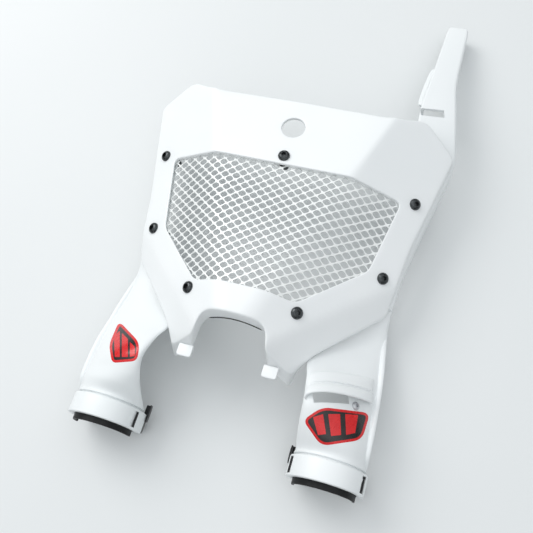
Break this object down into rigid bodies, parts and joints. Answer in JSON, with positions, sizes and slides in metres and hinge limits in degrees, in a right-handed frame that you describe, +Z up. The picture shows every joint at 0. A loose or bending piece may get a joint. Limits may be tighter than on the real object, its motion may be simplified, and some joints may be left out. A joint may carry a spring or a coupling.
{
  "type": "motorcycle front number plate",
  "caption": "Folded front number plate with a mesh vent, side rails and strapped fork guards with rubber liners, for an off-road motorcycle.",
  "frame": {"origin": "middle of the whole part's outline, at the surface it lies on", "axes": "+Z up out of the plate's front face, +Y from the strapped feet towards the arm, +X to the viewer's right"},
  "size_m": [0.297, 0.4944, 0.0999],
  "materials": {
    "white_plastic": "satin white moulding",
    "white_guard": "satin white moulding",
    "mesh_metal": "bare expanded metal",
    "black_screw": "black oxide",
    "black_washer": "matt black",
    "dark_screw": "plain steel",
    "liner_rubber": "matt black",
    "strap_fabric": "woven black"
  },
  "bodies": {
    "root": {"front_plate": "white_plastic", "mesh_screen": "mesh_metal", "left_side_guard": "white_guard", "right_side_guard": "white_guard", "plate_screws": "black_screw", "plate_nuts": "black_screw", "plate_washers": "black_washer", "guide_screw": "dark_screw", "left_liner": "liner_rubber", "right_liner": "liner_rubber", "left_strap": "strap_fabric", "right_strap": "strap_fabric"}
  },
  "joints": []
}
